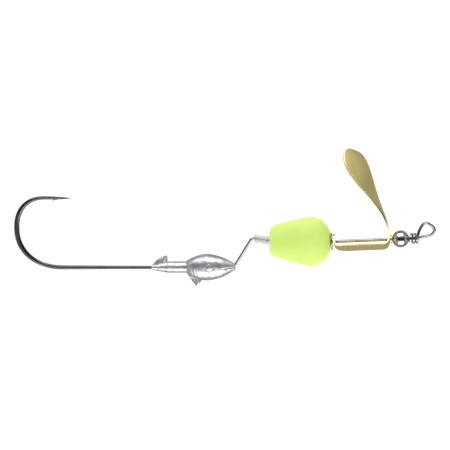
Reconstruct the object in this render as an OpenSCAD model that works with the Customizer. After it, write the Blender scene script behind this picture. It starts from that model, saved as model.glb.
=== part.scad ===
// In-line floating spinner jig, shown as it lies on its side on a flat surface.
// A long-shank jig hook is cast into a lead minnow head. A stainless wire arm leaves the nose, bends up
// to a shaft in line with the hook gap, and ends in a wrapped line tie. A clear spacer sleeve, a foam float,
// a washer, a one-piece twisted brass blade, a bearing washer and a chrome bead turn freely on the shaft.
// Every piece is drawn in the lure's own frame: X along the shaft towards the line tie, Y towards the hook
// point, Z out of the hook's plane. lying() then lays the finished lure down on the surface Z = 0.

/* [Hook] */
// Wire diameter of the shank beside the bend
shank_d = 1.1; // [1.0:0.05:1.15]
// Wire diameter of the shank inside the head
shank_head_d = 0.92; // [0.85:0.01:1.0]
// In-plane thickness of the forged bend
bend_forged = 1.4; // [1.2:0.05:1.5]
// Gap from the centre of the point to the centre of the shank
hook_gap = 19.45; // [19.0:0.05:19.8]

/* [Jig head] */
// Largest height of the head, in the hook's plane
head_h = 7.1; // [6.8:0.1:7.4]
// Largest thickness of the head, across the hook's plane
head_w = 6.0; // [5.6:0.1:6.6]
// Diameter of the keeper collar behind the head
collar_d = 3.1; // [2.8:0.1:3.3]
// Diameter of the moulded eye
eye_d = 2.1; // [1.8:0.1:2.4]

/* [Wire arm] */
// Diameter of the stainless wire
wire_d = 0.85; // [0.8:0.01:0.86]
// Radius of the wraps at the line tie, to the wire's centre
wrap_r = 1.05; // [1.0:0.05:1.15]
// Turns in the wraps
wrap_turns = 2; // [1:1:2]

/* [Float] */
// Largest diameter of the float
float_d = 13.3; // [12.0:0.1:13.4]
// Length of the float
float_l = 16.4; // [16.0:0.1:16.4]
// Outer diameter of the clear spacer sleeve
sleeve_d = 2.25; // [1.8:0.05:2.4]

/* [Blade] */
// Thickness of the brass sheet
sheet_t = 0.45; // [0.35:0.05:0.5]
// Width of the bracket plate
plate_w = 5.6; // [5.2:0.1:5.8]
// Largest width of the twisted lobe
lobe_w = 8.3; // [7.5:0.1:8.8]
// Twist of the lobe about its own length
lobe_twist = 51; // [44:1:54]
// Turn of the blade about the shaft, from the hook's plane, as the lure lies on its side
blade_roll = 30.9; // [20:0.1:30.9]

/* [Beads and washers] */
// Diameter of the chrome bead
bead_d = 4.64; // [4.4:0.02:4.64]
// Diameter of the washer behind the blade
rear_washer_d = 4.8; // [4.2:0.1:5.0]
// Diameter of the brass bearing washer in front of the blade
front_washer_d = 2.2; // [1.8:0.1:2.6]

/* [Lying pose] */
// Pitch that brings the hook bend down to the surface
lie_pitch = 3.49; // [3:0.01:4.6]
// Roll that brings the head down to the surface
lie_roll = 14.94; // [8:0.01:16]

/* [Hidden] */
// shift of the lure's frame that puts the lying lure's box centre on the origin and its lowest point on Z = 0
lie_x = 0.126;
lie_y = -6.71;
lie_z = 5.265;
wire_r = wire_d / 2;
sweep_r = wire_r - 0.004;
// axis of the shank and of the head
shank_y = -7.4;
head_y = -7.3;
// corners of the shaft: top of the arm, kink at the float, kink at the blade, end of the straight run
K0 = [7.3, 0.8, 0];
K1 = [12.1, 0.1, 0];
K2 = [29.3, -0.15, 0];
K3 = [49.95, 0.72, 0];
bore_r = wire_r + 0.075;

// ---- small vector helpers ----
function unit(v) = v / norm(v);
function tang(p, i) = unit(p[min(i + 1, len(p) - 1)] - p[max(i - 1, 0)]);
function square_to(v, t) = unit(v - (v * t) * t);
// normals carried along a path without twist
function normals(p, up) = [for (i = 0, n = square_to(up, tang(p, 0)); i < len(p); i = i + 1, n = i < len(p) ? square_to(n, tang(p, i)) : n) n];
// running length at each point
function run(p) = [for (i = 0, s = 0; i < len(p); i = i + 1, s = s + (i < len(p) ? norm(p[i] - p[i - 1]) : 0)) s];
// index of the table row at or below x
function row(t, x, i = 0) = i >= len(t) - 2 || x < t[i + 1][0] ? i : row(t, x, i + 1);
function slope(t, i) = i == 0 ? (t[1][1] - t[0][1]) / (t[1][0] - t[0][0])
    : i == len(t) - 1 ? (t[i][1] - t[i - 1][1]) / (t[i][0] - t[i - 1][0])
    : (t[i + 1][1] - t[i - 1][1]) / (t[i + 1][0] - t[i - 1][0]);
// smooth curve through a table of [x, value] rows
function smooth(t, x0) = let (x = min(max(x0, t[0][0]), t[len(t) - 1][0]), i = row(t, x), h = t[i + 1][0] - t[i][0], u = (x - t[i][0]) / h)
    t[i][1] * (2 * pow(u, 3) - 3 * u * u + 1) + slope(t, i) * h * (pow(u, 3) - 2 * u * u + u)
    + t[i + 1][1] * (3 * u * u - 2 * pow(u, 3)) + slope(t, i + 1) * h * (pow(u, 3) - u * u);
// smooth curve through points, m pieces between neighbours
function cr(a, b, c, d, t) = 0.5 * (2 * b + (c - a) * t + (2 * a - 5 * b + 4 * c - d) * t * t + (3 * b - a - 3 * c + d) * t * t * t);
function spline(p, m) = concat([for (i = [0 : len(p) - 2], j = [0 : m - 1])
    cr(p[max(i - 1, 0)], p[i], p[i + 1], p[min(i + 2, len(p) - 1)], j / m)], [p[len(p) - 1]]);
// round a corner a-b-c with radius r in m steps
function corner(a, b, c, r, m) = let (u = unit(a - b), v = unit(c - b), th = acos(u * v), o = b + unit(u + v) * r / sin(th / 2),
    e = unit(b + u * r / tan(th / 2) - o)) [for (k = [0 : m]) let (f = (180 - th) * k / m) o + r * (cos(f) * e - sin(f) * u)];

// ---- skin over rings of points ----
function ring(c, t, n, a, b, k) = let (m = cross(t, n)) [for (j = [0 : k - 1]) c + a * cos(360 * j / k) * n + b * sin(360 * j / k) * m];
module skin(rings) {
    k = len(rings[0]);
    n = len(rings);
    mid0 = [for (c = [0 : 2]) (rings[0] * 0)[0][c] + sum([for (q = rings[0]) q[c]]) / k];
    mid1 = [for (c = [0 : 2]) sum([for (q = rings[n - 1]) q[c]]) / k];
    polyhedron(
        points = concat([for (r = rings) each r], [mid0, mid1]),
        faces = concat(
            [for (i = [0 : n - 2], j = [0 : k - 1]) let (a = i * k + j, b = i * k + (j + 1) % k) each [[a, a + k, b + k], [a, b + k, b]]],
            [for (j = [0 : k - 1]) [n * k, j, (j + 1) % k]],
            [for (j = [0 : k - 1]) [n * k + 1, (n - 1) * k + (j + 1) % k, (n - 1) * k + j]]));
}
function sum(v, i = 0) = i >= len(v) ? 0 : v[i] + sum(v, i + 1);
// a round or oval wire along a path: a in the plane of up, b across it
module wire(p, up, a, b, k) {
    n = normals(p, up);
    skin([for (i = [0 : len(p) - 1]) ring(p[i], tang(p, i), n[i], a[i], b[i], k)]);
}
function same(v, n) = [for (i = [1 : n]) v];

// lays the finished lure on the surface
module lying() {
    translate([lie_x, lie_y, lie_z]) rotate([0, -lie_pitch, 0]) rotate([lie_roll, 0, 0]) children();
}
// puts a piece drawn along +X onto the shaft, running from a towards b
module along(a, b) {
    translate(a) rotate([0, 0, atan2(b[1] - a[1], b[0] - a[0])]) children();
}
// turns a profile or cylinder drawn on Z onto +X
module to_x() {
    rotate([0, 90, 0]) children();
}

// ---- hook ----
point_y = shank_y + hook_gap;
// top and bottom quarters of the bend, fuller than an ellipse
function bow(c, s) = pow(max(c, 0), 2 / s);
top_c = [-48.85, 3.6];
bot_c = [-43.85, 3.6];
hook_path = concat(
    [for (x = [-41.4, -41.9, -42.6, -43.5, -44.6, -45.8, -47.2]) [x, point_y - 0.15 * pow((x + 48.85) / 7.45, 2), 0]],
    [for (f = [90 : -9 : 0]) [top_c[0] - 7.5 * bow(cos(f), 2.2), top_c[1] + (point_y - top_c[1]) * bow(sin(f), 2.2), 0]],
    [for (f = [9 : 9 : 90]) [bot_c[0] - 12.5 * bow(cos(f), 2.2), bot_c[1] - (bot_c[1] - shank_y) * bow(sin(f), 2.2), 0]],
    [[-41, shank_y, 0], [-30, shank_y, 0], [-12, shank_y, 0], [-5, shank_y, 0]],
    // eye, turned up and closed inside the head
    [for (f = [-90 : 20 : 230]) [-3.2 + 1.15 * cos(f), shank_y + 1.15 + 1.15 * sin(f), 0]]);
hook_run = run(hook_path);
// half thickness in the hook's plane and across it, by distance from the point
thick_in = [[0, 0.03], [0.8, 0.16], [2.2, 0.31], [4, 0.4], [7.5, 0.47], [11, 0.56], [16, bend_forged / 2], [26, bend_forged / 2], [33, shank_d / 2], [36, shank_d / 2], [62, shank_head_d / 2], [90, shank_head_d / 2]];
thick_out = [[0, 0.03], [0.8, 0.16], [2.2, 0.31], [4, 0.4], [7.5, 0.47], [11, 0.48], [16, 0.48], [26, 0.48], [33, shank_d / 2], [36, shank_d / 2], [62, shank_head_d / 2], [90, shank_head_d / 2]];
module hook_wire() {
    wire(hook_path, [0, 1, 0], [for (s = hook_run) smooth(thick_in, s)], [for (s = hook_run) smooth(thick_out, s)], 14);
}
module hook() {
    color("#3c3a3a") lying() {
        hook_wire();
        // barb raised from the inside of the point
        translate([0, 0, -0.2]) linear_extrude(0.4) polygon([[-44.0, point_y - 0.2], [-44.5, point_y - 0.42], [-46.7, point_y - 1.0], [-46.2, point_y - 0.5], [-46.0, point_y - 0.2]]);
    }
}

// ---- wire arm ----
arm_in = [[-3.2, shank_y + 1.15, -1.2], [-3.2, shank_y + 1.15, 1.05], [-1.6, -6.35, 1.05], [2.55, -6.98, 0], K0, K1];
arm_path = concat([arm_in[0]], corner(arm_in[0], arm_in[1], arm_in[2], 0.8, 6), corner(arm_in[1], arm_in[2], arm_in[3], 1.5, 3),
    corner(arm_in[2], arm_in[3], arm_in[4], 1.0, 6), corner(arm_in[3], arm_in[4], arm_in[5], 1.3, 8), [K0 + 1.25 * unit(K1 - K0)]);
shaft_u = unit(K3 - K2);
shaft_v = [-shaft_u[1], shaft_u[0], 0];
// line tie: straight through the wraps, round the tilted eye, and back round the shaft
eye_pts = [K3 + 2.35 * shaft_u, [53.46, 1.18, 0], [54.7, 1.42, 0], [55.75, 1.78, 0], [56.35, 2.48, 0], [56.5, 3.3, 0], [56.15, 3.98, 0], [55.35, 4.53, 0],
    [54.6, 4.98, 0], [54.1, 5.05, 0], [53.6, 4.75, 0.05], [52.95, 4.0, 0.25], [52.45, 3.08, 0.6], [52.12, 2.0, 0.95]];
wrap_pitch = wire_d + 0.05;
function on_wrap(f) = let (o = K3 + (1.98 - wrap_pitch * f / 360) * shaft_u) o + wrap_r * cos(90 + f) * shaft_v + wrap_r * sin(90 + f) * [0, 0, 1];
tie_path = concat([K3 - 0.4 * shaft_u, K3 + 1.2 * shaft_u], spline(concat(eye_pts, [on_wrap(0), on_wrap(24)]), 3), [for (f = [48 : 24 : 360 * wrap_turns + 40]) on_wrap(f)]);
module rod(a, b) {
    translate(a) rotate([0, 0, atan2(b[1] - a[1], b[0] - a[0])]) to_x() cylinder(r = wire_r, h = norm(b - a), $fn = 48);
}
// a short bend of the round wire, reaching into the straight runs on both sides of it
module bend(a, b, c) {
    p = concat([b + 1.1 * unit(a - b)], corner(a, b, c, 6, 4), [b + 1.1 * unit(c - b)]);
    wire(p, [0, 1, 0], same(sweep_r, len(p)), same(sweep_r, len(p)), 14);
}
module wire_solid() {
    wire(arm_path, [0, 1, 0], same(sweep_r, len(arm_path)), same(sweep_r, len(arm_path)), 14);
    rod(K0 + 1.0 * unit(K1 - K0), K1 - 0.6 * unit(K1 - K0));
    bend(K0, K1, K2);
    rod(K1 + 0.6 * unit(K2 - K1), K2 - 0.4 * unit(K2 - K1));
    bend(K1, K2, K3);
    rod(K2 + 0.4 * unit(K3 - K2), K3);
    wire(tie_path, [0, 1, 0], same(sweep_r, len(tie_path)), same(sweep_r, len(tie_path)), 12);
}
module wire_arm() {
    color("#b9bcc0") lying() wire_solid();
}

// ---- jig head ----
// half height above and below the axis, and half thickness, by distance along the head
head_up = [[-10.5, 1.5], [-10.2, 1.9], [-9.2, 2.45], [-7.7, 3.05], [-6.0, 3.5], [-4.4, 3.55], [-2.4, 3.15], [-0.4, 2.5], [1.0, 1.85], [2.0, 1.3], [2.6, 0.85], [2.75, 0.4]];
head_dn = [[-10.5, 1.5], [-10.2, 2.0], [-9.2, 2.6], [-7.7, 3.2], [-6.0, 3.53], [-4.4, 3.55], [-2.4, 3.2], [-0.4, 2.5], [1.0, 1.75], [2.0, 1.15], [2.6, 0.7], [2.75, 0.35]];
head_th = [[-10.5, 1.4], [-10.2, 1.7], [-9.2, 2.2], [-7.7, 2.65], [-6.0, 2.95], [-4.4, 3.0], [-2.4, 2.75], [-0.4, 2.2], [1.0, 1.6], [2.0, 1.1], [2.6, 0.72], [2.75, 0.35]];
head_x = [-10.5, -10.38, -10.2, -9.8, -9.2, -8.5, -7.7, -6.9, -6.0, -5.2, -4.4, -3.4, -2.4, -1.4, -0.4, 0.4, 1.0, 1.6, 2.0, 2.35, 2.6, 2.75];
function fuller(v, e) = sign(v) * pow(abs(v), e);
module head_body() {
    k = 28;
    skin([for (x = head_x) [for (j = [0 : k - 1]) let (f = 360 * j / k, c = fuller(cos(f), 0.92), s = fuller(sin(f), 0.92),
        h = (c > 0 ? smooth(head_up, x) : smooth(head_dn, x)) * head_h / 7.1)
        [x, head_y + h * c, smooth(head_th, x) * head_w / 6.0 * s]]]);
}
module jig_head() {
    collar_r = collar_d / 2;
    color("#b4b7ba") lying() difference() {
        union() {
            head_body();
            // keeper collar, tapered down to the shank at its rear
            translate([-15.6, head_y, 0]) to_x() cylinder(r = collar_r, h = 6, $fn = 64);
            translate([-20, head_y - 0.05, 0]) to_x() cylinder(r1 = 0.72, r2 = collar_r - 0.05, h = 4.5, $fn = 64);
            // wedge barb that holds the soft bait on the collar
            translate([0, 0, -0.65]) linear_extrude(1.3) polygon([[-19.5, head_y + 0.5], [-19.5, head_y + 0.95], [-18.5, head_y + 2.05], [-17.5, head_y + 2.6], [-15.95, head_y + 3.35],
                [-15.7, head_y + 3.2], [-15.65, head_y + 0.5]]);
            // spike under the rear of the head
            translate([0, 0, -0.55]) linear_extrude(1.1) polygon([[-10.35, head_y - 1.2], [-10.4, head_y - 1.7], [-8.05, head_y - 5.2], [-7.85, head_y - 5.1], [-7.55, head_y - 4.0], [-7.2, head_y - 4.6],
                [-7.05, head_y - 4.5], [-6.3, head_y - 3.3], [-6.0, head_y - 2.0]]);
        }
        hook_wire();
        wire_solid();
        // round eye socket on each side, with a raised pupil left standing
        for (m = [0, 1]) mirror([0, 0, m]) translate([-4.2, head_y + 0.55, head_w / 2 - 0.28]) difference() {
            cylinder(r = eye_d / 2, h = 1, $fn = 48);
            translate([0, 0, -0.1]) cylinder(r = eye_d / 2 - 0.35, h = 0.26, $fn = 48);
        }
    }
}

// ---- clear spacer sleeve ----
module spacer_sleeve() {
    color("#e9edee", 0.5) lying() along(K0, K1) difference() {
        translate([0.55, 0, 0]) to_x() cylinder(r = sleeve_d / 2, h = 4.2, $fn = 64);
        translate([0, 0, 0]) to_x() cylinder(r = sleeve_d / 2 - 0.32, h = 6, $fn = 64);
        // slanting cut at the rear end
        rotate([0, 0, 8]) translate([-2.35, -3, -3]) cube([3, 6, 6]);
    }
}

// ---- float ----
float_r = float_d / 2;
// radius of the float as a share of its largest radius, by share of its length from the rear face
float_shape = [[0.055, 0.6], [0.1, 0.665], [0.2, 0.735], [0.34, 0.825], [0.48, 0.91], [0.58, 0.972], [0.65, 1.0], [0.72, 0.985], [0.79, 0.935], [0.86, 0.84], [0.92, 0.7], [0.965, 0.53]];
float_profile = concat([[0, 0], [0, 0.44]], [for (f = [15 : 15 : 75]) [0.045 * (1 - cos(f)), 0.44 + 0.15 * sin(f)]], [for (x = [0.055 : 0.035 : 0.965]) [x, smooth(float_shape, x)]],
    [[0.985, 0.42], [1, 0.3], [1, 0]]);
module float_body() {
    color("#d6ef76") lying() along(K1, K2) difference() {
        translate([0.02, 0, 0]) to_x() rotate_extrude($fn = 96) polygon([for (q = float_profile) [q[1] * float_r, q[0] * float_l]]);
        translate([-1, 0, 0]) to_x() cylinder(r = bore_r + 0.02, h = float_l + 2, $fn = 64);
    }
}

// ---- washers and bead ----
module rear_washer() {
    color("#8f9090") lying() along(K2, K3) translate([-0.6, 0, 0]) to_x() rotate_extrude($fn = 96)
        polygon([[wire_r + 0.12, 0.05], [rear_washer_d / 2 - 0.1, -0.03], [rear_washer_d / 2, 0.05], [rear_washer_d / 2, 0.17], [rear_washer_d / 2 - 0.1, 0.25], [wire_r + 0.12, 0.33]]);
}
module front_washer() {
    color("#c9a44c") lying() along(K2, K3) translate([15.4, 0, 0]) to_x() difference() {
        cylinder(r = front_washer_d / 2, h = 0.34, $fn = 64);
        translate([0, 0, -1]) cylinder(r = bore_r, h = 3, $fn = 64);
    }
}
module chrome_bead() {
    color("#c8ccd2") lying() along(K2, K3) translate([15.8 + bead_d / 2, 0, 0]) to_x() rotate_extrude($fn = 128) difference() {
        circle(r = bead_d / 2, $fn = 128);
        translate([bore_r - 5, -5]) square([5, 10]);
    }
}

// ---- blade ----
// middle of the sheet, in the shaft's plane, from the rear tab's end to the lobe's tip
blade_pts = [[0.1, 2.1], [0.16, 1.0], [0.25, 0.0], [0.38, -0.85], [0.8, -1.55], [1.6, -1.83], [3.5, -1.83], [7.5, -1.83], [11.5, -1.83], [13.3, -1.83], [14.2, -1.58], [14.78, -0.85],
    [15.08, 0.2], [15.12, 1.5], [14.8, 3.5], [13.95, 6.3], [12.9, 8.7], [11.7, 11.1], [10.45, 13.6], [9.15, 16.2], [7.9, 18.9], [6.7, 21.6], [5.6, 24.0], [5.03, 25.3]];
blade_path = spline([for (q = blade_pts) [q[0], q[1], 0]], 3);
blade_run = run(blade_path);
blade_end = blade_run[len(blade_run) - 1];
// half widths on the two sides of the strip, by distance from the rear tab's end
near_half = [[0, 0.15], [0.12, 0.75], [0.4, 1.3], [0.9, 1.75], [1.6, 2.05], [2.6, 2.2], [4.2, 2.5], [6, plate_w / 2], [15.0, plate_w / 2], [16.6, 2.5], [17.8, 2.0], [19.2, 1.55], [21.5, 1.32], [24, 1.35], [26.7, 1.85],
    [29, 2.35], [31.6, 2.9], [34, 3.5], [35.3, 3.8], [38, 4.05], [40, lobe_w / 2], [41, lobe_w / 2], [42, 3.88], [43, 3.5], [44, 2.97], [44.8, 2.45], [45.15, 1.9], [45.3, 1.0]];
far_half = [[0, 0.15], [0.12, 0.65], [0.4, 1.05], [0.9, 1.3], [1.6, 1.4], [2.6, 1.4], [3.8, 1.55], [5.2, 2.5], [6, plate_w / 2], [16.2, plate_w / 2], [17.2, 2.6], [18.2, 2.1], [19.4, 1.55], [21.5, 1.28], [25, 1.25],
    [28.5, 1.7], [31.5, 2.3], [35.2, 3.1], [38.6, 3.6], [40, 3.72], [41.6, 3.68], [43.5, 3.0], [44.7, 1.45], [45.3, 0.2]];
// share of the lobe's twist, and the lobe's drift towards the near side
twist_at = [[0, 0], [20, 0], [22, 0.06], [25, 0.2], [28, 0.4], [31, 0.58], [34, 0.75], [38, 0.93], [42, 1], [46, 1.02]];
drift_at = [[0, 0], [21, 0], [26, 0.2], [32, 0.75], [40, 1.5], [46, 1.95]];
cup_at = [[0, 0], [24, 0], [30, 0.12], [38, 0.34], [44, 0.3], [46, 0.1]];
across = [-1, -0.62, -0.22, 0.22, 0.62, 1];
module blade_sheet() {
    skin([for (i = [0 : len(blade_path) - 1]) let (s = blade_run[i] * 45.3 / blade_end, t = tang(blade_path, i), w0 = [0, 0, 1], n0 = cross(t, w0), tw = -lobe_twist * smooth(twist_at, s),
        w = cos(tw) * w0 + sin(tw) * n0, n = cross(t, w), c = blade_path[i] + [0, 0, smooth(drift_at, s)], cup = smooth(cup_at, s), wn = smooth(near_half, s), wf = smooth(far_half, s))
        concat([for (a = across) c + (a > 0 ? wn : wf) * a * w + (sheet_t / 2 + cup * (1 - a * a)) * n],
            [for (j = [5 : -1 : 0]) let (a = across[j]) c + (a > 0 ? wn : wf) * a * w + (cup * (1 - a * a) - sheet_t / 2) * n])]);
}
module spinner_blade() {
    color("#b39a55") lying() along(K2, K3) rotate([-blade_roll, 0, 0]) difference() {
        blade_sheet();
        // holes for the shaft in both tabs
        translate([-3, 0, 0]) to_x() cylinder(r = bore_r + 0.06, h = 6, $fn = 64);
        translate([13, 0, 0]) to_x() cylinder(r = bore_r + 0.06, h = 6, $fn = 64);
    }
}

hook();
jig_head();
wire_arm();
spacer_sleeve();
float_body();
rear_washer();
spinner_blade();
front_washer();
chrome_bead();
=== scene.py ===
import math

import bmesh
import bpy
import numpy as np
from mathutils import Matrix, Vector


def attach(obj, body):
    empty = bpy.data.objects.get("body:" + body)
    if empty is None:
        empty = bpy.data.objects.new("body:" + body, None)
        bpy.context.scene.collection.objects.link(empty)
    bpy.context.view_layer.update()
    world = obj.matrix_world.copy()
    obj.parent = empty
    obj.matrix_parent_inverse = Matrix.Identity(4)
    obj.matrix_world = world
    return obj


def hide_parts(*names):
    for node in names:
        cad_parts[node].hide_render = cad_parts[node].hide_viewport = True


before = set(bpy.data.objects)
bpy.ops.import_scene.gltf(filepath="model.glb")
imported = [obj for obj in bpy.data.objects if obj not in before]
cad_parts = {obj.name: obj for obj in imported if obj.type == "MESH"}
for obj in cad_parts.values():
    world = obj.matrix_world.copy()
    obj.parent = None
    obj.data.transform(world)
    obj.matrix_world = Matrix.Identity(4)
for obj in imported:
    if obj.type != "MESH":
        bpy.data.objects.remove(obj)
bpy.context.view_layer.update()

# ------------------------------------------------------------------ the lure's own frame, in mm
PITCH, ROLL = math.radians(-3.49), math.radians(14.94)
SHIFT = np.array([0.126, -6.71, 5.265])
RY = np.array([[math.cos(PITCH), 0, math.sin(PITCH)], [0, 1, 0], [-math.sin(PITCH), 0, math.cos(PITCH)]])
RX = np.array([[1, 0, 0], [0, math.cos(ROLL), -math.sin(ROLL)], [0, math.sin(ROLL), math.cos(ROLL)]])
LIE = RY @ RX


def lay(p):
    """Lure frame in mm to the row frame in metres."""
    return (np.asarray(p, float) @ LIE.T + SHIFT) * 0.001


def unlay(p):
    return (np.asarray(p, float) * 1000 - SHIFT) @ LIE


def unit(v):
    v = np.asarray(v, float)
    return v / np.linalg.norm(v)


def along(a, b, roll=0.0):
    """Function that takes points drawn on +X from a towards b, turned by roll degrees, into the lure frame."""
    a, b = np.array(a, float), np.array(b, float)
    f = math.atan2(b[1] - a[1], b[0] - a[0])
    rz = np.array([[math.cos(f), -math.sin(f), 0], [math.sin(f), math.cos(f), 0], [0, 0, 1]])
    r = math.radians(roll)
    rx = np.array([[1, 0, 0], [0, math.cos(r), -math.sin(r)], [0, math.sin(r), math.cos(r)]])
    m = rz @ rx
    return lambda p: np.asarray(p, float) @ m.T + a


def smooth(t, x0):
    """Smooth curve through a table of (x, value) rows."""
    t = np.array(t, float)
    x = np.clip(np.asarray(x0, float), t[0, 0], t[-1, 0])
    i = np.clip(np.searchsorted(t[:, 0], x, side="right") - 1, 0, len(t) - 2)
    s = np.empty(len(t))
    s[0] = (t[1, 1] - t[0, 1]) / (t[1, 0] - t[0, 0])
    s[-1] = (t[-1, 1] - t[-2, 1]) / (t[-1, 0] - t[-2, 0])
    s[1:-1] = (t[2:, 1] - t[:-2, 1]) / (t[2:, 0] - t[:-2, 0])
    h = t[i + 1, 0] - t[i, 0]
    u = (x - t[i, 0]) / h
    return (t[i, 1] * (2 * u**3 - 3 * u * u + 1) + s[i] * h * (u**3 - 2 * u * u + u)
            + t[i + 1, 1] * (3 * u * u - 2 * u**3) + s[i + 1] * h * (u**3 - u * u))


def spline(p, m):
    p = [np.array(q, float) for q in p]
    out = []
    for i in range(len(p) - 1):
        a, b, c, d = p[max(i - 1, 0)], p[i], p[i + 1], p[min(i + 2, len(p) - 1)]
        for j in range(m):
            t = j / m
            out.append(0.5 * (2 * b + (c - a) * t + (2 * a - 5 * b + 4 * c - d) * t * t + (3 * b - a - 3 * c + d) * t**3))
    out.append(p[-1])
    return out


def corner(a, b, c, r, m):
    a, b, c = (np.array(q, float) for q in (a, b, c))
    u, v = unit(a - b), unit(c - b)
    th = math.acos(float(u @ v))
    o = b + unit(u + v) * r / math.sin(th / 2)
    e = unit(b + u * r / math.tan(th / 2) - o)
    return [o + r * (math.cos(f) * e - math.sin(f) * u) for f in ((math.pi - th) * k / m for k in range(m + 1))]


def tangents(p):
    p = np.array(p, float)
    t = np.empty_like(p)
    t[1:-1] = p[2:] - p[:-2]
    t[0], t[-1] = p[1] - p[0], p[-1] - p[-2]
    return t / np.linalg.norm(t, axis=1)[:, None]


def run(p):
    p = np.array(p, float)
    return np.concatenate([[0], np.cumsum(np.linalg.norm(np.diff(p, axis=0), axis=1))])


def subdivide(p, step):
    """Adds points on long straight stretches."""
    out = [np.array(p[0], float)]
    for q in p[1:]:
        q = np.array(q, float)
        d = np.linalg.norm(q - out[-1])
        n = max(1, int(math.ceil(d / step)))
        a = out[-1]
        out += [a + (q - a) * k / n for k in range(1, n + 1)]
    return out


# ------------------------------------------------------------------ meshes
def mesh_object(name, verts, faces, uvs=None, smooth_faces=True):
    """verts in the lure frame, mm. uvs: one (u, v) per face corner, in mm."""
    me = bpy.data.meshes.new(name)
    me.from_pydata([tuple(v) for v in lay(verts)], [], faces)
    if uvs is not None:
        layer = me.uv_layers.new(name="UVMap")
        layer.data.foreach_set("uv", np.array(uvs, float).ravel())
    me.update()
    bm = bmesh.new()
    bm.from_mesh(me)
    bmesh.ops.recalc_face_normals(bm, faces=bm.faces)
    bm.to_mesh(me)
    bm.free()
    if smooth_faces:
        me.polygons.foreach_set("use_smooth", [True] * len(me.polygons))
    ob = bpy.data.objects.new(name, me)
    bpy.context.scene.collection.objects.link(ob)
    return ob


def loft(name, rings, v_at, around, caps=True):
    """Closed skin over rings of points; v_at is each ring's place along the piece and around the distance round it."""
    rings = np.array(rings, float)
    n, k = rings.shape[:2]
    verts = list(rings.reshape(-1, 3))
    faces, uvs = [], []
    for i in range(n - 1):
        for j in range(k):
            j2 = (j + 1) % k
            faces.append((i * k + j, (i + 1) * k + j, (i + 1) * k + j2, i * k + j2))
            u0, u1 = around * j / k, around * (j + 1) / k
            uvs += [(u0, v_at[i]), (u0, v_at[i + 1]), (u1, v_at[i + 1]), (u1, v_at[i])]
    if caps:
        for i, flip in ((0, False), (n - 1, True)):
            verts.append(rings[i].mean(0))
            c = len(verts) - 1
            for j in range(k):
                j2 = (j + 1) % k
                faces.append((c, i * k + j2, i * k + j) if flip else (c, i * k + j, i * k + j2))
                u0, u1 = around * j / k, around * (j + 1) / k
                uvs += [(u0, v_at[i]), (u0, v_at[i]), (u1, v_at[i])]
    return mesh_object(name, np.array(verts), faces, uvs)


def sweep(name, path, up, a, b, k):
    """A round or oval wire along a path: a in the plane of up, b across it."""
    path = np.array(path, float)
    t = tangents(path)
    n = np.array(up, float)
    rings = []
    for i in range(len(path)):
        n = unit(n - (n @ t[i]) * t[i])
        m = np.cross(t[i], n)
        f = np.arange(k) * 2 * math.pi / k
        rings.append(path[i] + a[i] * np.cos(f)[:, None] * n + b[i] * np.sin(f)[:, None] * m)
    return loft(name, rings, run(path), 2 * math.pi * float(np.max(a)))


def lathe(name, profile, k, put):
    """Closed profile of (radius, x) points, turned about +X and put in place. The profile has no point on the axis."""
    p = np.array(profile, float)
    n = len(p)
    f = np.arange(k) * 2 * math.pi / k
    verts = np.array([[x, r * math.cos(g), r * math.sin(g)] for g in f for r, x in p])
    s = run(list(p) + [p[0]])
    rr = float(p[:, 0].max())
    faces, uvs = [], []
    for i in range(k):
        i2 = (i + 1) % k
        for j in range(n):
            j2 = (j + 1) % n
            faces.append((i * n + j, i2 * n + j, i2 * n + j2, i * n + j2))
            u0, u1 = 2 * math.pi * rr * i / k, 2 * math.pi * rr * (i + 1) / k
            uvs += [(u0, s[j]), (u1, s[j]), (u1, s[j + 1]), (u0, s[j + 1])]
    return mesh_object(name, put(verts), faces, uvs)


def rounded(profile, radius, m=4):
    """Rounds each corner of a closed (radius, x) profile."""
    p = [np.array(q, float) for q in profile]
    out = []
    for i in range(len(p)):
        a, b, c = p[i - 1], p[i], p[(i + 1) % len(p)]
        r = radius[i] if isinstance(radius, (list, tuple)) else radius
        if r <= 0:
            out.append(b)
            continue
        u, v = unit(a - b), unit(c - b)
        d = min(r, 0.45 * np.linalg.norm(a - b), 0.45 * np.linalg.norm(c - b))
        for k in range(m + 1):
            w = k / m
            out.append((1 - w) ** 2 * (b + u * d) + 2 * w * (1 - w) * b + w * w * (b + v * d))
    return [tuple(q) for q in out]


def settle(ob):
    """Applies the object's modifiers."""
    dg = bpy.context.evaluated_depsgraph_get()
    me = bpy.data.meshes.new_from_object(ob.evaluated_get(dg))
    old = ob.data
    ob.modifiers.clear()
    ob.data = me
    bpy.data.meshes.remove(old)
    return ob


def cut(ob, tool, how):
    m = ob.modifiers.new("b", "BOOLEAN")
    m.operation, m.solver, m.object = how, "EXACT", tool
    settle(ob)
    bpy.data.objects.remove(tool)
    return ob


def soften(ob, degrees=35):
    """Smooth shading, with creases sharper than the angle left as edges."""
    me = ob.data
    me.polygons.foreach_set("use_smooth", [True] * len(me.polygons))
    bm = bmesh.new()
    bm.from_mesh(me)
    for e in bm.edges:
        e.smooth = not (len(e.link_faces) == 2 and e.calc_face_angle(0) > math.radians(degrees))
    bm.to_mesh(me)
    bm.free()
    return ob


def dress(ob, body, node, mat):
    ob.data.materials.clear()
    ob.data.materials.append(mat)
    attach(ob, body)
    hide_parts(node)
    return ob


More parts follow.
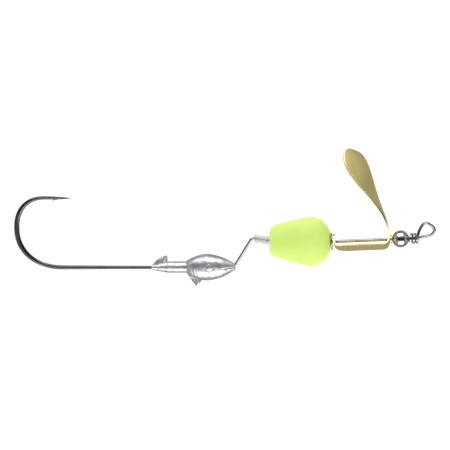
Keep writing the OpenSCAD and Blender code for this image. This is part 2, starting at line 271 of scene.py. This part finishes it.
# ------------------------------------------------------------------ materials
class Nodes:
    def __init__(self, name):
        self.mat = bpy.data.materials.new(name)
        self.mat.use_nodes = True
        self.t = self.mat.node_tree
        self.bsdf = self.t.nodes["Principled BSDF"]

    def add(self, kind, **values):
        n = self.t.nodes.new(kind)
        for k, v in values.items():
            if k in n.inputs:
                n.inputs[k].default_value = v
            else:
                setattr(n, k, v)
        return n

    def link(self, a, b):
        self.t.links.new(a, b)

    def put(self, **values):
        for k, v in values.items():
            self.bsdf.inputs[k.replace("_", " ")].default_value = v

    def coords(self, kind="Object", scale=(1, 1, 1)):
        c = self.add("ShaderNodeTexCoord")
        m = self.add("ShaderNodeMapping")
        m.inputs["Scale"].default_value = scale
        self.link(c.outputs[kind], m.inputs["Vector"])
        return m.outputs["Vector"]

    def noise(self, vector, scale, detail=4.0, rough=0.55, distortion=0.0):
        n = self.add("ShaderNodeTexNoise", Scale=scale, Detail=detail, Roughness=rough, Distortion=distortion)
        self.link(vector, n.inputs["Vector"])
        return n.outputs["Fac"]

    def ramp(self, fac, stops):
        r = self.add("ShaderNodeValToRGB")
        e = r.color_ramp.elements
        while len(e) < len(stops):
            e.new(0.5)
        for el, (pos, col) in zip(e, stops):
            el.position = pos
            el.color = (*col, 1) if len(col) == 3 else col
        self.link(fac, r.inputs["Fac"])
        return r.outputs["Color"]

    def span(self, fac, lo, hi, a=0.0, b=1.0):
        m = self.add("ShaderNodeMapRange")
        m.inputs["From Min"].default_value, m.inputs["From Max"].default_value = a, b
        m.inputs["To Min"].default_value, m.inputs["To Max"].default_value = lo, hi
        self.link(fac, m.inputs["Value"])
        return m.outputs["Result"]

    def mix(self, fac, a, b, blend="MIX"):
        m = self.add("ShaderNodeMix", data_type="RGBA", blend_type=blend)
        if isinstance(fac, (int, float)):
            m.inputs[0].default_value = fac
        else:
            self.link(fac, m.inputs[0])
        for i, c in ((6, a), (7, b)):
            if isinstance(c, tuple):
                m.inputs[i].default_value = (*c, 1)
            else:
                self.link(c, m.inputs[i])
        return m.outputs[2]

    def bump(self, height, strength, distance, normal=None):
        b = self.add("ShaderNodeBump")
        b.inputs["Strength"].default_value = strength
        b.inputs["Distance"].default_value = distance
        self.link(height, b.inputs["Height"])
        if normal is not None:
            self.link(normal, b.inputs["Normal"])
        return b.outputs["Normal"]

    def to(self, output, name):
        self.link(output, self.bsdf.inputs[name])


def black_nickel():
    m = Nodes("black_nickel")
    m.put(Metallic=1.0, Roughness=0.13, Coat_Weight=0.35, Coat_Roughness=0.08)
    uv = m.coords("UV", (1, 1, 1))
    lines = m.noise(m.coords("UV", (9, 0.35, 1)), 1.6, 4, 0.6)
    cloud = m.noise(uv, 0.25, 3, 0.5)
    m.to(m.ramp(cloud, [(0.3, (0.066, 0.062, 0.06)), (0.55, (0.09, 0.085, 0.082)), (0.75, (0.12, 0.11, 0.104))]), "Base Color")
    m.to(m.span(lines, 0.06, 0.14, 0.3, 0.7), "Roughness")
    m.to(m.bump(lines, 0.12, 0.00002), "Normal")
    return m.mat


def cast_lead():
    m = Nodes("cast_lead")
    m.put(Metallic=1.0, Roughness=0.3)
    ob = m.coords("Object", (1000, 1000, 1000))
    big = m.noise(ob, 0.55, 4, 0.6, 0.4)
    fine = m.noise(ob, 4.2, 5, 0.65)
    pit = m.add("ShaderNodeTexVoronoi", Scale=1.5, Randomness=1.0)
    m.link(ob, pit.inputs["Vector"])
    tone = m.ramp(big, [(0.28, (0.42, 0.44, 0.475)), (0.5, (0.61, 0.62, 0.64)), (0.72, (0.74, 0.745, 0.75))])
    grey = m.ramp(fine, [(0.35, (0.72, 0.72, 0.73)), (0.6, (1, 1, 1))])
    # painted shade: the lower spike's base colour is pulled towards dark grey, standing in for shade that its faces
    # don't catch
    spike_shade = m.add("ShaderNodeAttribute", attribute_name="spike_shade")
    m.to(m.mix(m.span(spike_shade.outputs["Fac"], 0, 0.62, 0, 1), m.mix(0.8, tone, grey, "MULTIPLY"), (0.12, 0.12, 0.125), "MIX"), "Base Color")
    m.to(m.span(fine, 0.34, 0.52, 0.3, 0.7), "Roughness")
    n1 = m.bump(big, 0.3, 0.0001)
    n2 = m.bump(m.span(pit.outputs["Distance"], 0, 1, 0.0, 0.35), 0.2, 0.00004, n1)
    m.to(m.bump(fine, 0.3, 0.00003, n2), "Normal")
    return m.mat


def stainless():
    m = Nodes("stainless_wire")
    m.put(Metallic=1.0, Roughness=0.16)
    lines = m.noise(m.coords("UV", (8, 0.3, 1)), 2.0, 4, 0.6)
    cloud = m.noise(m.coords("UV", (0.4, 0.4, 1)), 0.8, 3, 0.5)
    m.to(m.ramp(cloud, [(0.3, (0.31, 0.305, 0.30)), (0.6, (0.40, 0.395, 0.39)), (0.8, (0.48, 0.47, 0.46))]), "Base Color")
    m.to(m.span(lines, 0.1, 0.24, 0.3, 0.7), "Roughness")
    m.to(m.bump(lines, 0.12, 0.00002), "Normal")
    return m.mat


def clear_plastic():
    m = Nodes("clear_plastic")
    m.put(Roughness=0.08, IOR=1.45, Coat_Weight=0.4, Coat_Roughness=0.03)
    haze = m.noise(m.coords("UV", (1.2, 0.4, 1)), 1.4, 3, 0.5)
    m.to(m.ramp(haze, [(0.3, (0.44, 0.45, 0.465)), (0.7, (0.52, 0.535, 0.55))]), "Base Color")
    m.to(m.span(haze, 0.07, 0.13, 0.3, 0.7), "Roughness")
    lw = m.add("ShaderNodeLayerWeight", Blend=0.25)
    m.to(m.span(lw.outputs["Facing"], 0.16, 0.93, 0.12, 0.85), "Alpha")
    return m.mat


def foam():
    m = Nodes("float_foam")
    m.put(Roughness=0.6, Specular_IOR_Level=0.4, Subsurface_Weight=0.4, Subsurface_Scale=0.0025)
    m.bsdf.inputs["Subsurface Radius"].default_value = (0.9, 1.0, 0.25)
    ob = m.coords("Object", (1000, 1000, 1000))
    cloud = m.noise(ob, 0.16, 3, 0.5)
    grain = m.noise(ob, 6.0, 4, 0.6)
    cell = m.add("ShaderNodeTexVoronoi", Scale=4.5, Randomness=1.0)
    m.link(ob, cell.inputs["Vector"])
    base = m.ramp(cloud, [(0.3, (0.60, 0.81, 0.17)), (0.55, (0.64, 0.83, 0.195)), (0.75, (0.68, 0.85, 0.235))])
    speck = m.ramp(cell.outputs["Distance"], [(0.0, (0.93, 0.95, 0.86)), (0.22, (1, 1, 1))])
    m.to(m.mix(0.6, base, speck, "MULTIPLY"), "Base Color")
    m.to(m.span(grain, 0.5, 0.72, 0.3, 0.7), "Roughness")
    n1 = m.bump(m.span(cell.outputs["Distance"], 0, 1, 0.0, 0.4), 0.12, 0.00003)
    m.to(m.bump(grain, 0.18, 0.00003, n1), "Normal")
    return m.mat


def brass_sheet():
    m = Nodes("brass_sheet")
    m.put(Metallic=1.0, Roughness=0.26)
    grain = m.noise(m.coords("UV", (14, 0.25, 1)), 1.4, 4, 0.6)
    ob = m.coords("Object", (1000, 1000, 1000))
    cloud = m.noise(ob, 0.12, 3, 0.5)
    spot = m.noise(ob, 1.3, 5, 0.7)
    base = m.ramp(cloud, [(0.3, (0.82, 0.68, 0.27)), (0.55, (0.89, 0.75, 0.31)), (0.8, (0.93, 0.80, 0.38))])
    tarnish = m.ramp(spot, [(0.3, (0.8, 0.8, 0.74)), (0.5, (1, 1, 1))])
    m.to(m.mix(0.2, base, tarnish, "MULTIPLY"), "Base Color")
    m.to(m.span(grain, 0.2, 0.32, 0.3, 0.7), "Roughness")
    m.to(m.bump(grain, 0.04, 0.00001), "Normal")
    return m.mat


def turned(name, dark, mid, light, rough):
    m = Nodes(name)
    m.put(Metallic=1.0, Roughness=rough)
    rings = m.noise(m.coords("UV", (0.15, 10, 1)), 2.0, 3, 0.6)
    cloud = m.noise(m.coords("Object", (1000, 1000, 1000)), 0.9, 4, 0.6)
    m.to(m.ramp(cloud, [(0.3, dark), (0.55, mid), (0.78, light)]), "Base Color")
    m.to(m.span(rings, rough * 0.7, rough * 1.5, 0.3, 0.7), "Roughness")
    m.to(m.bump(rings, 0.12, 0.00002), "Normal")
    return m.mat


def chrome():
    m = Nodes("chrome_plate")
    m.put(Metallic=1.0, Roughness=0.05)
    ob = m.coords("Object", (1000, 1000, 1000))
    cloud = m.noise(ob, 0.5, 4, 0.6)
    smear = m.noise(ob, 2.6, 5, 0.65, 0.5)
    m.to(m.ramp(cloud, [(0.3, (0.45, 0.44, 0.435)), (0.6, (0.53, 0.52, 0.51)), (0.8, (0.59, 0.57, 0.54))]), "Base Color")
    m.to(m.span(smear, 0.03, 0.11, 0.35, 0.7), "Roughness")
    m.to(m.bump(cloud, 0.03, 0.00005), "Normal")
    return m.mat


# ------------------------------------------------------------------ hook
SHANK_Y, HEAD_Y, POINT_Y = -7.4, -7.3, 12.05


def bow(c):
    return max(c, 0.0) ** (2 / 2.2)


path = [(x, POINT_Y - 0.15 * ((x + 48.85) / 7.45) ** 2, 0) for x in np.concatenate([np.linspace(-41.4, -44.6, 14), np.linspace(-45.1, -48.2, 8)])]
path += [(-48.85 - 7.5 * bow(math.cos(f)), 3.6 + (POINT_Y - 3.6) * bow(math.sin(f)), 0) for f in np.radians(np.arange(90, -1, -3.0))]
path += [(-43.85 - 12.5 * bow(math.cos(f)), 3.6 - (3.6 - SHANK_Y) * bow(math.sin(f)), 0) for f in np.radians(np.arange(3, 91, 3.0))]
path += [(x, SHANK_Y, 0) for x in (-41, -36, -30, -24, -18, -12, -5)]
path += [(-3.2 + 1.15 * math.cos(f), SHANK_Y + 1.15 + 1.15 * math.sin(f), 0) for f in np.radians(np.arange(-90, 231, 10.0))]
far = run(path)
T_IN = [(0, .03), (.8, .16), (2.2, .31), (4, .4), (7.5, .47), (11, .56), (16, .7), (26, .7), (33, .55), (36, .55), (62, .46), (90, .46)]
T_OUT = [(0, .03), (.8, .16), (2.2, .31), (4, .4), (7.5, .47), (11, .48), (16, .48), (26, .48), (33, .55), (36, .55), (62, .46), (90, .46)]
hook = sweep("hook_wire", path, (0, 1, 0), smooth(T_IN, far), smooth(T_OUT, far), 28)
# barb, sliced up from the inner side of the point and lifted to the rear
side = [(-44.2, -0.14, .05), (-44.8, -0.38, .11), (-45.5, -0.56, .14), (-46.7, -0.86, .04), (-46.42, -0.62, .1), (-46.15, -0.42, .15), (-46.0, -0.15, .18)]
ring = []
for z in (-1, 1):
    ring.append([(x, POINT_Y + y, z * h) for x, y, h in side])
v = ring[0] + ring[1]
n = len(side)
faces = [tuple(range(n)), tuple(range(2 * n - 1, n - 1, -1))] + [(i, (i + 1) % n, n + (i + 1) % n, n + i) for i in range(n)]
barb = mesh_object("barb", np.array(v), faces)
cut(hook, barb, "UNION")
soften(hook, 50)
dress(hook, "lure", "hook", black_nickel())

# ------------------------------------------------------------------ wire arm, one bent wire
WIRE_R = 0.425
K0, K1, K2, K3 = (np.array(k) for k in ([7.3, .8, 0], [12.1, .1, 0], [29.3, -.15, 0], [49.95, .72, 0]))
ARM = [(-3.2, SHANK_Y + 1.15, -1.2), (-3.2, SHANK_Y + 1.15, 1.05), (-1.6, -6.35, 1.05), (2.55, -6.98, 0), tuple(K0), tuple(K1)]
U = unit(K3 - K2)
V = np.array([-U[1], U[0], 0])
EYE = [K3 + 2.35 * U, (53.46, 1.18, 0), (54.7, 1.42, 0), (55.75, 1.78, 0), (56.35, 2.48, 0), (56.5, 3.3, 0), (56.15, 3.98, 0), (55.35, 4.53, 0),
       (54.6, 4.98, 0), (54.1, 5.05, 0), (53.6, 4.75, .05), (52.95, 4.0, .25), (52.45, 3.08, .6), (52.12, 2.0, .95)]


def on_wrap(f):
    return K3 + (1.98 - 0.9 * f / 360) * U + 1.05 * math.cos(math.radians(90 + f)) * V + 1.05 * math.sin(math.radians(90 + f)) * np.array([0, 0, 1])


path = [np.array(ARM[0])] + corner(ARM[0], ARM[1], ARM[2], 0.8, 8) + corner(ARM[1], ARM[2], ARM[3], 1.5, 4) + corner(ARM[2], ARM[3], ARM[4], 1.0, 10)
path += corner(ARM[3], ARM[4], ARM[5], 1.3, 12) + corner(K0, K1, K2, 6, 6) + corner(K1, K2, K3, 6, 6) + [K3 - 0.4 * U, K3 + 1.2 * U]
path = subdivide(path, 3.0)
path += spline(EYE + [on_wrap(0), on_wrap(24)], 6)[:-1] + [on_wrap(f) for f in np.arange(24, 761, 10)]
arm = sweep("wire_arm_bent", path, (0, 1, 0), [WIRE_R] * len(path), [WIRE_R] * len(path), 24)
soften(arm, 50)
dress(arm, "lure", "wire_arm", stainless())

# ------------------------------------------------------------------ cast head
HEAD_UP = [(-10.5, 1.5), (-10.2, 1.9), (-9.2, 2.45), (-7.7, 3.05), (-6.0, 3.5), (-4.4, 3.55), (-2.4, 3.15), (-.4, 2.5), (1.0, 1.85), (2.0, 1.3), (2.6, .85), (2.75, .4)]
HEAD_DN = [(-10.5, 1.5), (-10.2, 2.0), (-9.2, 2.6), (-7.7, 3.2), (-6.0, 3.53), (-4.4, 3.55), (-2.4, 3.2), (-.4, 2.5), (1.0, 1.75), (2.0, 1.15), (2.6, .7), (2.75, .35)]
HEAD_TH = [(-10.5, 1.4), (-10.2, 1.7), (-9.2, 2.2), (-7.7, 2.65), (-6.0, 2.95), (-4.4, 3.0), (-2.4, 2.75), (-.4, 2.2), (1.0, 1.6), (2.0, 1.1), (2.6, .72), (2.75, .35)]


def fuller(v, e=0.92):
    return math.copysign(abs(v) ** e, v)


def plate(name, outline, edge, half, keep=0.5, lean=(0, 0)):
    """Closed lead plate of an outline in the hook's plane, thin at its edge and full at its middle."""
    n = len(outline)
    q = np.array(outline, float)
    mid = q.mean(0) + np.array(lean)
    inner = mid + keep * (q - mid)
    rows = [[(x, HEAD_Y + y, z * e) for (x, y), e in zip(o, t)] for z, o, t in ((-1, inner, half), (-1, q, edge), (1, q, edge), (1, inner, half))]
    v = [p for r in rows for p in r]
    f = [tuple(range(n)), tuple(range(4 * n - 1, 3 * n - 1, -1))]
    for k in range(3):
        f += [(k * n + i, k * n + (i + 1) % n, (k + 1) * n + (i + 1) % n, (k + 1) * n + i) for i in range(n)]
    return mesh_object(name, np.array(v), f)


xs = np.concatenate([[-10.5, -10.42, -10.3, -10.15], np.linspace(-9.9, 2.2, 50), [2.35, 2.5, 2.62, 2.7, 2.75]])
k = 72
rings = []
for x in xs:
    up, dn, th = float(smooth(HEAD_UP, x)), float(smooth(HEAD_DN, x)), float(smooth(HEAD_TH, x))
    rings.append([(x, HEAD_Y + (up if math.cos(f) > 0 else dn) * fuller(math.cos(f)), th * fuller(math.sin(f))) for f in np.arange(k) * 2 * math.pi / k])
head = loft("jig_head_cast", rings, xs, 20.0)
put0 = along((0, HEAD_Y, 0), (1, HEAD_Y, 0))
cone = [(-20.0, .72), (-19.0, .9), (-17.5, 1.16), (-15.5, 1.5)]
collar = [[(x, HEAD_Y - (0.05 if x < -15.5 else 0) + r * math.cos(f), r * math.sin(f)) for f in np.arange(48) * math.pi / 24] for x, r in cone + [(-15.35, 1.55), (-12, 1.55), (-9.6, 1.55)]]
parts = [loft("collar", collar, np.arange(len(collar)), 10.0)]
parts.append(plate("wedge", [(-19.5, .3), (-19.5, .95), (-18.5, 2.05), (-17.5, 2.6), (-15.95, 3.35), (-15.7, 3.2), (-15.72, 1.9), (-15.65, .3)],
                   [.5, .4, .26, .2, .12, .14, .3, .5], [.65, .65, .64, .62, .6, .6, .65, .65], 0.15, (0.1, -0.5)))
parts.append(plate("spike", [(-10.35, -.9), (-10.4, -1.7), (-9.2, -3.55), (-8.05, -5.2), (-7.85, -5.1), (-7.55, -4.0), (-7.2, -4.6), (-7.05, -4.5), (-6.3, -3.3), (-6.0, -1.6)],
                   [.5, .35, .2, .1, .1, .16, .1, .1, .2, .5], [.46, .46, .46, .46, .46, .46, .46, .46, .46, .46], 0.68, (0.0, 0.2)))
bm = bmesh.new()
for ob in [head] + parts:
    bm.from_mesh(ob.data)
bm.to_mesh(head.data)
bm.free()
for ob in parts:
    bpy.data.objects.remove(ob)
m = head.modifiers.new("r", "REMESH")
m.mode, m.voxel_size = "VOXEL", 0.00007
settle(head)
m = head.modifiers.new("s", "SMOOTH")
m.factor, m.iterations = 0.5, 4
settle(head)
me = head.data
co = np.empty(len(me.vertices) * 3)
me.vertices.foreach_get("co", co)
no = np.empty(len(me.vertices) * 3)
me.vertices.foreach_get("normal", no)
p = unlay(co.reshape(-1, 3))
nn = no.reshape(-1, 3) @ LIE
x, y, z = p[:, 0], p[:, 1] - HEAD_Y, p[:, 2]


def gauss(d, w):
    return np.exp(-((d / w) ** 2))


body = 1 / (1 + np.exp(-(x + 9.6) / 0.3))
push = np.zeros(len(p))
# parting line of the mould, a faint raised bead all round
push += 0.05 * gauss(z, 0.09) * (1 / (1 + np.exp(-(x + 19.0) / 0.3)))
# moulded eye on each side: ring groove and domed pupil
r = np.hypot(x + 4.2, y - 0.55)
side_on = (np.abs(z) > 1.2)
push += side_on * (-0.06 * gauss(r - 0.98, 0.18) + 0.035 * np.clip(1 - (r / 0.78) ** 2, 0, None))
# mouth line from the nose and gill cover behind the eye
mouth = 0.35 - 0.10 * (2.75 - x)
push += -0.1 * gauss(y - mouth, 0.11) * np.clip((x + 1.2) / 0.8, 0, 1) * np.clip((2.6 - x) / 0.4, 0, 1) * (np.abs(z) > 0.35)
gill = -7.55 - 0.55 * np.cos(y * 0.75)
push += -0.05 * gauss(x - gill, 0.14) * body * (np.abs(y) < 2.6) * (np.abs(z) > 0.8)
gill2 = -8.45 - 0.5 * np.cos(y * 0.8)
push += -0.05 * gauss(x - gill2, 0.12) * body * (np.abs(y) < 2.1) * (np.abs(z) > 0.7)
# torn, ragged lead on the barbs
ragged = np.clip((y - 1.75) / 0.5, 0, 1) * (x < -15.5) + np.clip((-3.1 - y) / 0.6, 0, 1) * (x < -5.5)
push += np.where(x < -15.5, 0.045, 0.022) * ragged * (np.sin(9.5 * x + 3.1 * y) + 0.7 * np.sin(15.0 * x - 6.0 * y + 1.0) + 0.6 * np.cos(7.0 * y + 4.0 * x))
# shallow unevenness of cast lead
push += 0.013 * (np.sin(1.9 * x + 1.3 * y) * np.cos(2.3 * y - 1.1 * z) + np.sin(3.7 * x - 2.2 * z + 0.6) * np.cos(2.9 * y + 0.8))
p = p + nn * push[:, None]
me.vertices.foreach_set("co", lay(p).ravel())
me.update()
# painted shade: marks the lower part of the spike, where the base colour is darkened in place of shade
spike_shade = me.attributes.new("spike_shade", "FLOAT", "POINT")
spike_shade.data.foreach_set("value", (np.clip((-2.9 - y) / 0.5, 0, 1) * (x < -5.8)).astype(np.float32))
me.polygons.foreach_set("use_smooth", [True] * len(me.polygons))
dress(head, "lure", "jig_head", cast_lead())

# ------------------------------------------------------------------ sleeve, float, washers and bead
put = along(K0, K1)
bore = 0.805
k = 96
f = np.arange(k) * 2 * math.pi / k
tan8 = math.tan(math.radians(8))


def slant(y):
    return 0.645 - y * tan8


secs = []
for r, u, edge in [(1.125 - 0.05, 0, 0), (1.125, 0.05, 0), (1.125, 4.15, 1), (1.125 - 0.05, 4.2, 1), (bore + 0.03, 4.2, 1), (bore, 4.17, 1), (bore, 0.03, 0), (bore + 0.03, 0, 0)]:
    ys, zs = r * np.cos(f), r * np.sin(f)
    x0 = slant(ys) + u if not edge else np.full(k, 0.55 + u)
    secs.append(np.stack([x0, ys, zs], 1))
secs = np.array(secs)
verts = put(secs.reshape(-1, 3))
faces, uvs = [], []
s = [0, .07, 4.2, 4.27, 4.6, 4.65, 8.8, 8.85, 9.1]
for i in range(8):
    i2 = (i + 1) % 8
    for j in range(k):
        j2 = (j + 1) % k
        faces.append((i * k + j, i2 * k + j, i2 * k + j2, i * k + j2))
        uvs += [(j * .07, s[i]), (j * .07, s[i + 1]), ((j + 1) * .07, s[i + 1]), ((j + 1) * .07, s[i])]
sleeve = mesh_object("sleeve_tube", verts, faces, uvs)
soften(sleeve, 60)
dress(sleeve, "sleeve", "spacer_sleeve", clear_plastic())

FLOAT_R, FLOAT_L = 6.65, 16.4
SHAPE = [(.055, .6), (.1, .665), (.2, .735), (.34, .825), (.48, .91), (.58, .972), (.65, 1.0), (.72, .985), (.79, .935), (.86, .84), (.92, .7), (.965, .53)]
prof = [(.52, 0.06), (.58, 0.0), (.44 * FLOAT_R, 0.0)]
prof += [((0.44 + 0.15 * math.sin(g)) * FLOAT_R, 0.045 * (1 - math.cos(g)) * FLOAT_L) for g in np.radians(np.arange(10, 81, 10))]
prof += [(float(smooth(SHAPE, q)) * FLOAT_R, q * FLOAT_L) for q in np.linspace(0.055, 0.965, 64)]
prof += [(.48 * FLOAT_R, .976 * FLOAT_L), (.42 * FLOAT_R, .985 * FLOAT_L), (.36 * FLOAT_R, .993 * FLOAT_L), (.3 * FLOAT_R, .998 * FLOAT_L), (.25 * FLOAT_R, FLOAT_L), (.6, FLOAT_L), (.52, FLOAT_L - 0.08)]
put_float = along(K1, K2)
floaty = lathe("float_pear", [(r, x + 0.02) for r, x in prof], 128, put_float)
soften(floaty, 55)
dress(floaty, "float", "float_body", foam())

on_shaft = along(K2, K3)
w = rounded([(.545, .05), (2.3, -.03), (2.4, .05), (2.4, .17), (2.3, .25), (.545, .33)], [.03, .03, .03, .03, .03, .03], 3)
washer = lathe("rear_washer_disc", [(r, x - 0.6) for r, x in w], 96, on_shaft)
soften(washer, 40)
dress(washer, "rear_disc", "rear_washer", turned("nickel", (.33, .33, .325), (.46, .46, .45), (.56, .56, .55), 0.26))

w = rounded([(.5, 0), (1.1, 0), (1.1, .34), (.5, .34)], .05, 4)
fw = lathe("front_washer_disc", [(r, x + 15.4) for r, x in w], 72, on_shaft)
soften(fw, 40)
dress(fw, "front_disc", "front_washer", turned("brass_turned", (.62, .44, .14), (.74, .55, .2), (.84, .67, .3), 0.16))

R = 2.32
end = math.sqrt(R * R - 0.5 * 0.5)
ball = [(R * math.cos(g), R * math.sin(g)) for g in np.linspace(-math.acos(0.56 / R), math.acos(0.56 / R), 49)]
ball = [(.5, -end + 0.1), (.515, -end + 0.03)] + ball + [(.515, end - 0.03), (.5, end - 0.1)]
bead = lathe("bead_chrome", [(r, x + 15.8 + R) for r, x in ball], 96, on_shaft)
soften(bead, 40)
dress(bead, "bead", "chrome_bead", chrome())

# ------------------------------------------------------------------ blade
PTS = [(.1, 2.1), (.16, 1), (.25, 0), (.38, -.85), (.8, -1.55), (1.6, -1.83), (3.5, -1.83), (7.5, -1.83), (11.5, -1.83), (13.3, -1.83), (14.2, -1.58), (14.78, -.85),
       (15.08, .2), (15.12, 1.5), (14.8, 3.5), (13.95, 6.3), (12.9, 8.7), (11.7, 11.1), (10.45, 13.6), (9.15, 16.2), (7.9, 18.9), (6.7, 21.6), (5.6, 24), (5.03, 25.3)]
NEAR = [(0, .15), (.12, .75), (.4, 1.3), (.9, 1.75), (1.6, 2.05), (2.6, 2.2), (4.2, 2.5), (6, 2.8), (15, 2.8), (16.6, 2.5), (17.8, 2.0), (19.2, 1.55), (21.5, 1.32), (24, 1.35), (26.7, 1.85),
        (29, 2.35), (31.6, 2.9), (34, 3.5), (35.3, 3.8), (38, 4.05), (40, 4.15), (41, 4.15), (42, 3.88), (43, 3.5), (44, 2.97), (44.8, 2.45), (45.15, 1.9), (45.3, 1.0)]
FAR = [(0, .15), (.12, .65), (.4, 1.05), (.9, 1.3), (1.6, 1.4), (2.6, 1.4), (3.8, 1.55), (5.2, 2.5), (6, 2.8), (16.2, 2.8), (17.2, 2.6), (18.2, 2.1), (19.4, 1.55), (21.5, 1.28), (25, 1.25),
       (28.5, 1.7), (31.5, 2.3), (35.2, 3.1), (38.6, 3.6), (40, 3.72), (41.6, 3.68), (43.5, 3.0), (44.7, 1.45), (45.3, .2)]
TWIST = [(0, 0), (20, 0), (22, .06), (25, .2), (28, .4), (31, .58), (34, .75), (38, .93), (42, 1), (46, 1.02)]
DRIFT = [(0, 0), (21, 0), (26, .2), (32, .75), (40, 1.5), (46, 1.95)]
CUP = [(0, 0), (24, 0), (30, .12), (38, .34), (44, .3), (46, .1)]
SHEET = 0.225
line = np.array(spline([(a, b, 0) for a, b in PTS], 8))
far = run(line)
stops = np.concatenate([[0, .05, .12, .22, .35], np.arange(.55, 44.5, .3), [44.6, 44.8, 44.95, 45.08, 45.18, 45.25, 45.3]]) * far[-1] / 45.3
c = np.stack([np.interp(stops, far, line[:, i]) for i in range(3)], 1)
tt = tangents(line)
tg = np.stack([np.interp(stops, far, tt[:, i]) for i in range(3)], 1)
tg /= np.linalg.norm(tg, axis=1)[:, None]
s46 = stops * 45.3 / far[-1]
rings = []
for i in range(len(stops)):
    s = float(s46[i])
    t = tg[i]
    w0 = np.array([0, 0, 1.0])
    n0 = np.cross(t, w0)
    tw = math.radians(-51 * float(smooth(TWIST, s)))
    w = math.cos(tw) * w0 + math.sin(tw) * n0
    n = np.cross(t, w)
    cc = c[i] + np.array([0, 0, float(smooth(DRIFT, s))])
    cup, wn, wf = float(smooth(CUP, s)), float(smooth(NEAR, s)), float(smooth(FAR, s))
    b = min(0.09, 0.3 * min(wn, wf))
    face = np.linspace(-1, 1, 17)
    top, low = [], []
    for a in face:
        q = a * ((wn - b) if a > 0 else (wf - b))
        top.append((q, a))
    g = [math.radians(v) for v in (30, 60, 90)]
    prof = [(q, SHEET + cup * (1 - a * a)) for q, a in top]
    prof += [(wn - b + b * math.sin(v), SHEET - b + b * math.cos(v)) for v in g]
    prof += [(wn - b + b * math.sin(v), -SHEET + b - b * math.cos(v)) for v in reversed(g)]
    prof += [(q, -SHEET + cup * (1 - a * a)) for q, a in reversed(top)]
    prof += [(-wf + b - b * math.sin(v), -SHEET + b - b * math.cos(v)) for v in g]
    prof += [(-wf + b - b * math.sin(v), SHEET - b + b * math.cos(v)) for v in reversed(g)]
    rings.append([cc + q * w + h * n for q, h in prof])
turn = along(K2, K3, -30.9)
blade = loft("blade_stamped", [turn(r) for r in rings], s46, 14.0)
f = np.arange(64) * 2 * math.pi / 64
for a, b in ((-3, 3), (13, 19)):
    tool = loft("tool", [turn([(q, 0.56 * math.cos(g), 0.56 * math.sin(g)) for g in f]) for q in (a, b)], [0, 1], 1)
    cut(blade, tool, "DIFFERENCE")
soften(blade, 48)
dress(blade, "blade", "spinner_blade", brass_sheet())

# ------------------------------------------------------------------ stage, light and camera
me = bpy.data.meshes.new("floor")
me.from_pydata([(-4, -4, -2e-5), (4, -4, -2e-5), (4, 4, -2e-5), (-4, 4, -2e-5)], [], [(0, 1, 2, 3)])
floor = bpy.data.objects.new("floor", me)
bpy.context.scene.collection.objects.link(floor)
fm = Nodes("floor_pale")
fm.put(Roughness=0.9, Specular_IOR_Level=0.0)
fm.bsdf.inputs["Base Color"].default_value = (0.35, 0.35, 0.35, 1)
fm.bsdf.inputs["Emission Color"].default_value = (1, 1, 1, 1)
fm.bsdf.inputs["Emission Strength"].default_value = 0.8
me.materials.append(fm.mat)
floor.visible_glossy = False

world = bpy.data.worlds.new("studio")
bpy.context.scene.world = world
world.use_nodes = True
wt = world.node_tree
bg = wt.nodes["Background"]
bg.inputs["Strength"].default_value = 1.0


def calc(op, a, b=None):
    n = wt.nodes.new("ShaderNodeMath")
    n.operation = op
    for i, v in enumerate((a, b)):
        if isinstance(v, (int, float)):
            n.inputs[i].default_value = v
        elif v is not None:
            wt.links.new(v, n.inputs[i])
    return n.outputs[0]


# a light tent: dim slot overhead, brighter walls, grey below the horizon
tc = wt.nodes.new("ShaderNodeTexCoord")
sep = wt.nodes.new("ShaderNodeSeparateXYZ")
wt.links.new(tc.outputs["Generated"], sep.inputs[0])
off = calc("MAXIMUM", calc("ABSOLUTE", sep.outputs["Y"]), calc("MULTIPLY", calc("SUBTRACT", 1.0, sep.outputs["Z"]), 0.75))
rp = wt.nodes.new("ShaderNodeValToRGB")
el = rp.color_ramp.elements
el[0].position, el[0].color = 0.2, (0.03, 0.031, 0.034, 1)
el[1].position, el[1].color = 0.52, (0.6, 0.6, 0.6, 1)
e = el.new(0.76)
e.color = (0.55, 0.55, 0.55, 1)
e = el.new(0.9)
e.color = (0.40, 0.40, 0.405, 1)
wt.links.new(off, rp.inputs["Fac"])
wt.links.new(rp.outputs["Color"], bg.inputs["Color"])


def softbox(name, loc, size, energy):
    li = bpy.data.lights.new(name, "AREA")
    li.shape, li.size, li.size_y, li.energy = "RECTANGLE", size[0], size[1], energy
    ob = bpy.data.objects.new(name, li)
    ob.location = loc
    ob.rotation_euler = (-Vector(loc)).to_track_quat("-Z", "Y").to_euler()
    bpy.context.scene.collection.objects.link(ob)
    ob.visible_camera = False
    return ob


softbox("key_low", (0.08, -0.72, 0.42), (1.1, 0.66), 7.0)
softbox("fill_high", (-0.05, 0.72, 0.42), (1.1, 0.66), 6.4)

cam = bpy.data.cameras.new("camera")
cam.lens, cam.sensor_width = 420, 36
cam.clip_start, cam.clip_end = 0.05, 20
co = bpy.data.objects.new("camera", cam)
co.location = (0.00013, -0.00239, 0.005 + 0.1215 * 420 / 36)
bpy.context.scene.collection.objects.link(co)
bpy.context.scene.camera = co
bpy.context.scene.view_settings.view_transform = "Standard"
